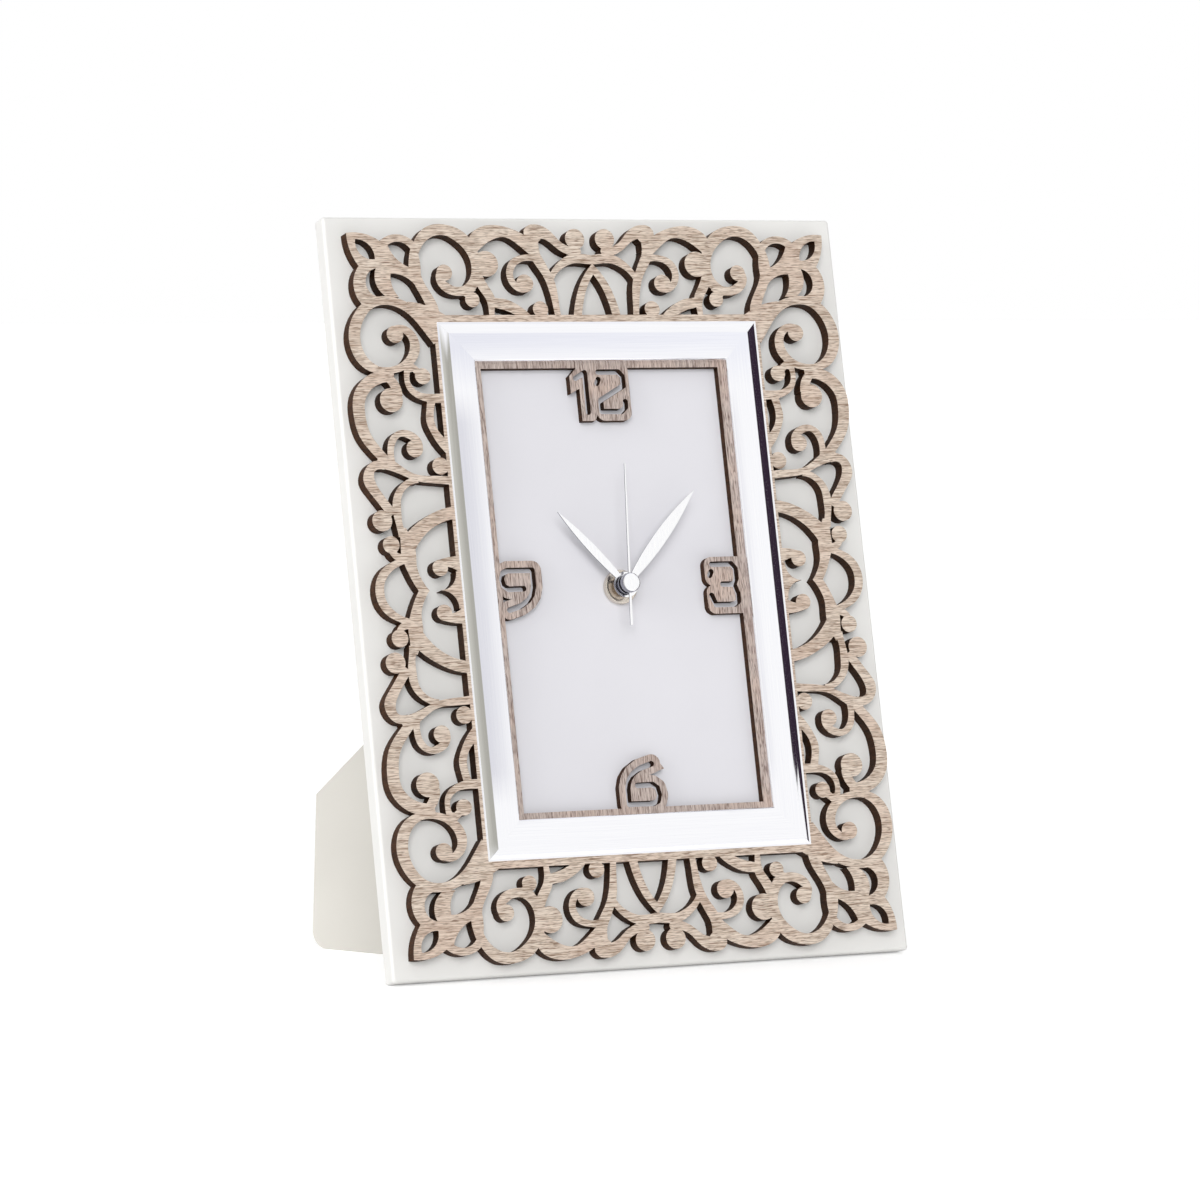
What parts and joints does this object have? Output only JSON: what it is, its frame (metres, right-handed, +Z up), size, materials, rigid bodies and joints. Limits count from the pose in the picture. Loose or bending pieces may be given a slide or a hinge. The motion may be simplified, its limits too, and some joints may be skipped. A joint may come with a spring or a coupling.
{
  "type": "photo frame clock",
  "caption": "Upright table clock in a white board frame with oak scroll fretwork, a silver moulding, fretted numbers, quartz movement and a fold-out strut.",
  "frame": {"origin": "middle of the footprint, on the table, with the strut open and the clock leaning back on it", "axes": "+Z up, -Y is the side the dial faces, +X to the right as seen from the front"},
  "size_m": [0.2, 0.1182, 0.2641],
  "materials": {
    "white_lacquer": "white lacquer, satin",
    "oak_veneer": "oak veneer with dark burnt cut edges",
    "dial_grey": "light grey paint, matt",
    "silver": "polished, silver",
    "back_brown": "plain fibreboard",
    "cream_board": "cream board, matt",
    "hand_silver": "polished",
    "nickel": "nickel plated",
    "zinc_steel": "zinc plated",
    "case_plastic": "fine matt",
    "gear_plastic": "moulded",
    "rubber": "matt",
    "core_steel": "bare sheet",
    "copper": "enamelled wire",
    "circuit_green": "solder mask",
    "cell_jacket": "plain printed jacket"
  },
  "bodies": {
    "clock": {"backing_board": "white_lacquer", "fretwork_panel": "oak_veneer", "numeral_fret": "oak_veneer", "dial_board": "dial_grey", "frame_rail_top": "silver", "frame_rail_bottom": "silver", "frame_rail_left": "silver", "frame_rail_right": "silver", "back_panel": "back_brown", "turn_button_screws": "zinc_steel", "hinge_fixed_leaf": "zinc_steel", "hinge_pin": "zinc_steel", "fixed_leaf_screws": "zinc_steel", "strut_stop": "cream_board", "movement_case": "case_plastic", "movement_cover": "case_plastic", "rubber_gasket": "rubber", "threaded_bush": "nickel", "dial_washer": "nickel", "bush_nut": "nickel", "stator": "core_steel", "coil": "copper", "circuit_board": "circuit_green", "contact_plus": "zinc_steel", "contact_minus": "zinc_steel", "battery": "cell_jacket"},
    "strut": {"strut": "cream_board", "hinge_strut_leaf": "zinc_steel", "strut_leaf_screws": "zinc_steel"},
    "button_1": {"turn_button_1": "zinc_steel"},
    "button_2": {"turn_button_2": "zinc_steel"},
    "button_3": {"turn_button_3": "zinc_steel"},
    "button_4": {"turn_button_4": "zinc_steel"},
    "hour": {"hour_wheel": "gear_plastic", "hour_hand": "hand_silver"},
    "minute": {"minute_arbor": "gear_plastic", "minute_hand": "hand_silver"},
    "second": {"second_arbor": "core_steel", "second_hand": "hand_silver"},
    "motion": {"motion_wheel": "gear_plastic"},
    "knob": {"setting_knob": "case_plastic"},
    "third": {"third_wheel": "gear_plastic"},
    "centre": {"centre_wheel": "gear_plastic"},
    "fifth": {"fifth_wheel": "gear_plastic"},
    "rotor": {"rotor": "gear_plastic"}
  },
  "joints": [
    {"name": "strut_fold", "type": "hinge", "parent": "clock", "child": "strut", "pos_m": [-0.028, -0.03525, 0.03436], "axis": [0, 0.2385, 0.9711], "range_deg": [-123, 0]},
    {"name": "button_1_swivel", "type": "hinge", "parent": "clock", "child": "button_1", "pos_m": [-0.05305, -0.01889, 0.11354], "axis": [0, 0.9711, -0.2385], "range_deg": [-90, 90]},
    {"name": "button_2_swivel", "type": "hinge", "parent": "clock", "child": "button_2", "pos_m": [-0.05305, 0.0002, 0.19123], "axis": [0, 0.9711, -0.2385], "range_deg": [-90, 90]},
    {"name": "button_3_swivel", "type": "hinge", "parent": "clock", "child": "button_3", "pos_m": [0.05305, -0.01889, 0.11354], "axis": [0, 0.9711, -0.2385], "range_deg": [-90, 90]},
    {"name": "button_4_swivel", "type": "hinge", "parent": "clock", "child": "button_4", "pos_m": [0.05305, 0.0002, 0.19123], "axis": [0, 0.9711, -0.2385], "range_deg": [-90, 90]},
    {"name": "minute_turn", "type": "hinge", "parent": "clock", "child": "minute", "pos_m": [0, -0.02265, 0.133], "axis": [0, 0.9711, -0.2385], "continuous": true},
    {"name": "hour_turn", "type": "hinge", "parent": "clock", "child": "hour", "pos_m": [0, -0.02265, 0.133], "axis": [0, 0.9711, -0.2385], "continuous": true},
    {"name": "motion_turn", "type": "hinge", "parent": "clock", "child": "motion", "pos_m": [0.00619, -0.02118, 0.13901], "axis": [0, 0.9711, -0.2385], "continuous": true},
    {"name": "knob_turn", "type": "hinge", "parent": "clock", "child": "knob", "pos_m": [0.01237, -0.0197, 0.14502], "axis": [0, 0.9711, -0.2385], "continuous": true},
    {"name": "second_turn", "type": "hinge", "parent": "clock", "child": "second", "pos_m": [0, -0.02265, 0.133], "axis": [0, 0.9711, -0.2385], "continuous": true},
    {"name": "third_turn", "type": "hinge", "parent": "clock", "child": "third", "pos_m": [-0.00721, -0.02093, 0.14001], "axis": [0, 0.9711, -0.2385], "continuous": true},
    {"name": "centre_turn", "type": "hinge", "parent": "clock", "child": "centre", "pos_m": [0, -0.02265, 0.133], "axis": [0, 0.9711, -0.2385], "continuous": true},
    {"name": "fifth_turn", "type": "hinge", "parent": "clock", "child": "fifth", "pos_m": [0.0072, -0.02265, 0.133], "axis": [0, 0.9711, -0.2385], "continuous": true},
    {"name": "rotor_turn", "type": "hinge", "parent": "clock", "child": "rotor", "pos_m": [0.0142, -0.02265, 0.133], "axis": [0, 0.9711, -0.2385], "continuous": true}
  ],
  "couplings": [
    {"joint": "hour_turn", "follows": "minute_turn", "ratio": 0.083333},
    {"joint": "motion_turn", "follows": "minute_turn", "ratio": -0.33333},
    {"joint": "knob_turn", "follows": "minute_turn", "ratio": 1},
    {"joint": "third_turn", "follows": "second_turn", "ratio": -0.13333},
    {"joint": "centre_turn", "follows": "second_turn", "ratio": 0.016667},
    {"joint": "fifth_turn", "follows": "second_turn", "ratio": -5},
    {"joint": "rotor_turn", "follows": "second_turn", "ratio": 30}
  ]
}
